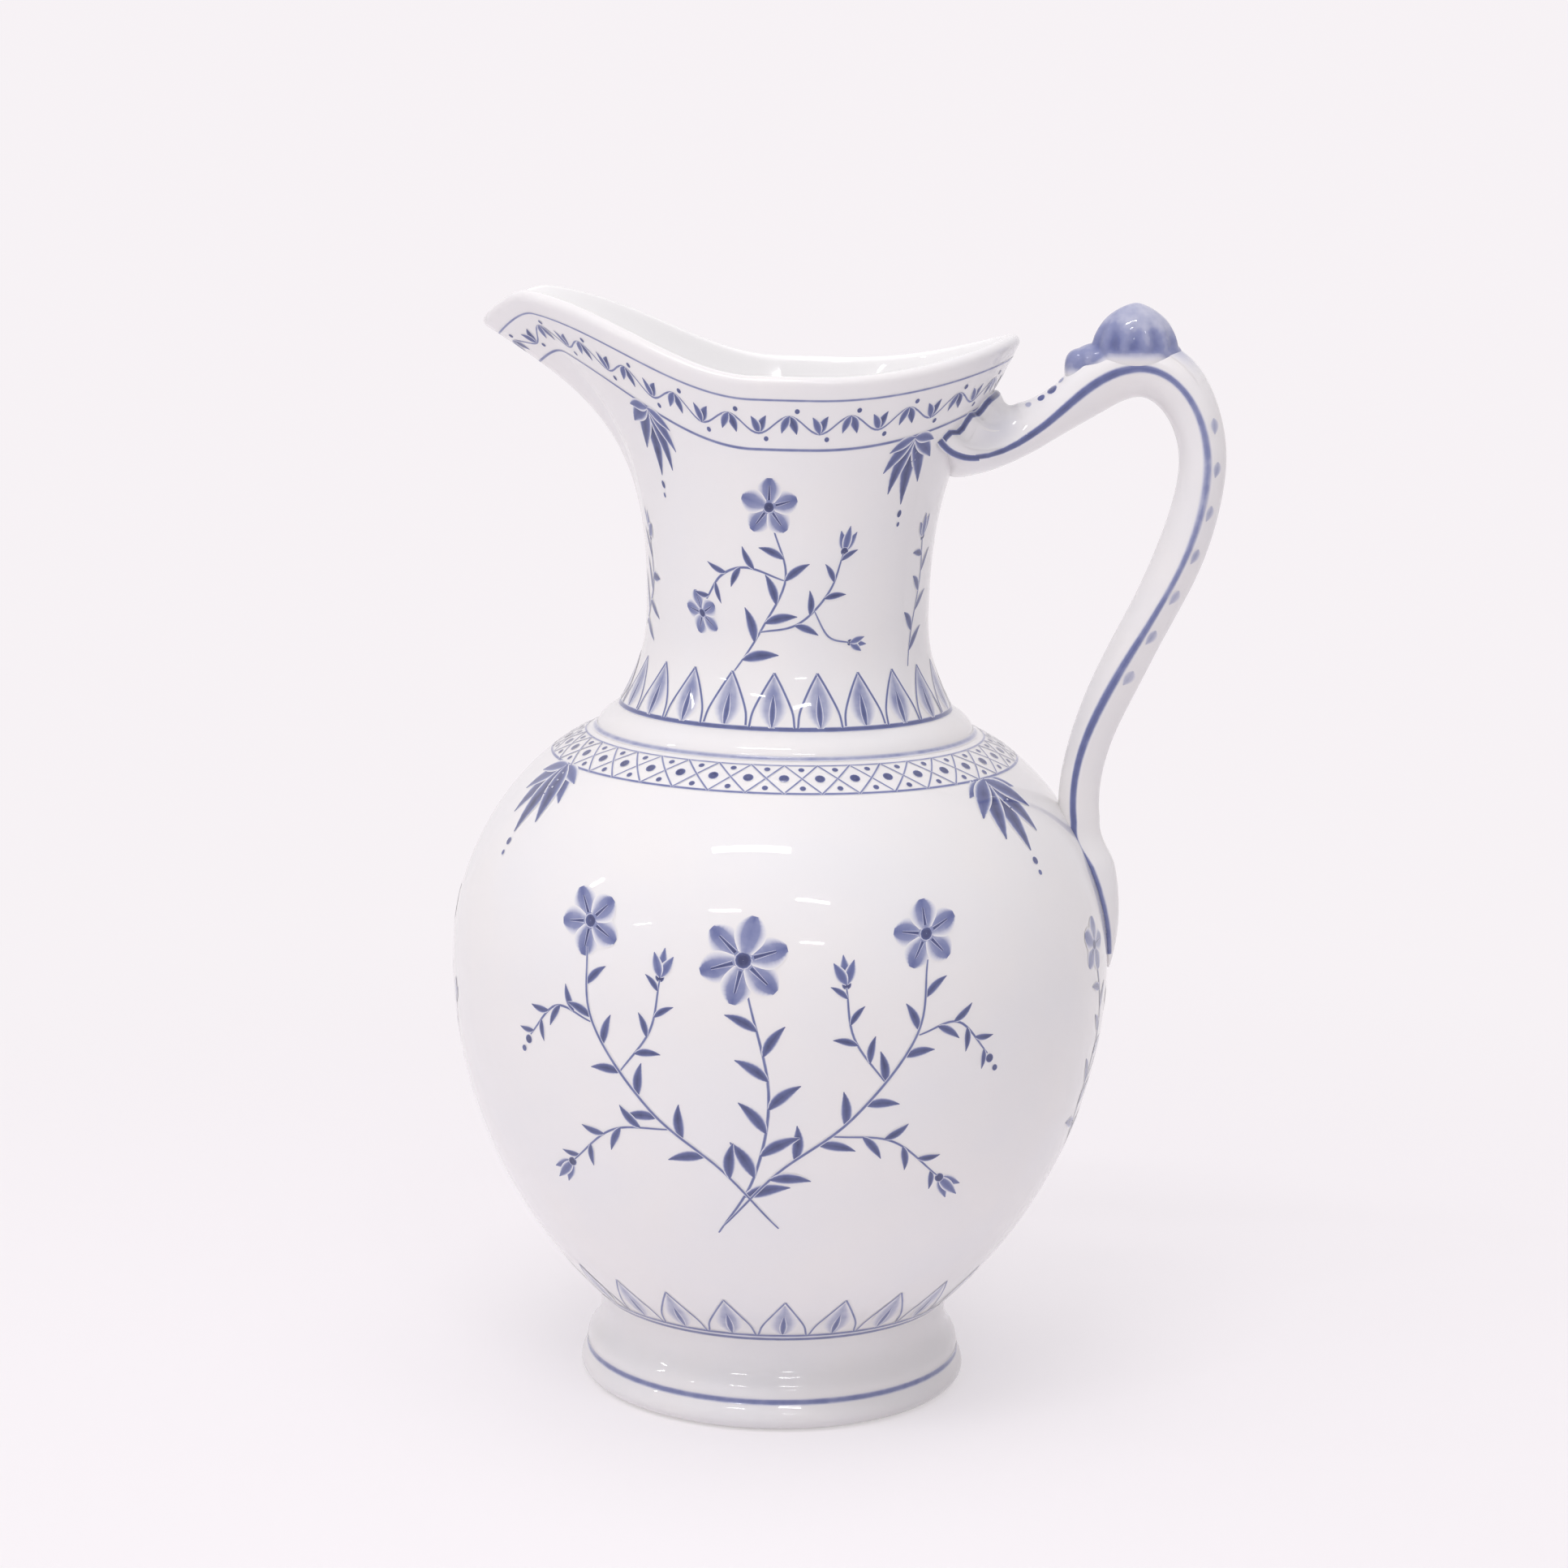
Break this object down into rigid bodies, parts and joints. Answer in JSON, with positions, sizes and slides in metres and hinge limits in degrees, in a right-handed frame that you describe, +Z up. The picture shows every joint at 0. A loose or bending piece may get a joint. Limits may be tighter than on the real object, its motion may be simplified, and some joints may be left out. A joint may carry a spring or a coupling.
{
  "type": "porcelain jug",
  "caption": "Baluster porcelain water jug with a round belly, waisted neck, long pulled spout, arched handle with thumb rest and a hollow foot ring, painted in blue under a clear glaze.",
  "frame": {"origin": "on the table the jug stands on, under the middle of its whole outline", "axes": "+Z up, -X the way the spout pours, +X towards the handle, so the plane Y = 0 halves the jug"},
  "size_m": [0.1726, 0.1506, 0.2509],
  "materials": {
    "foot_glaze": "gloss",
    "body_glaze": "gloss",
    "handle_glaze": "gloss",
    "blue_glaze": "gloss"
  },
  "bodies": {
    "root": {"foot_ring": "foot_glaze", "belly": "body_glaze", "collar_ring": "body_glaze", "neck_spout": "body_glaze", "handle": "handle_glaze", "handle_upper_leaf": "handle_glaze", "handle_lower_leaf": "handle_glaze", "thumb_rest": "blue_glaze"}
  },
  "joints": []
}
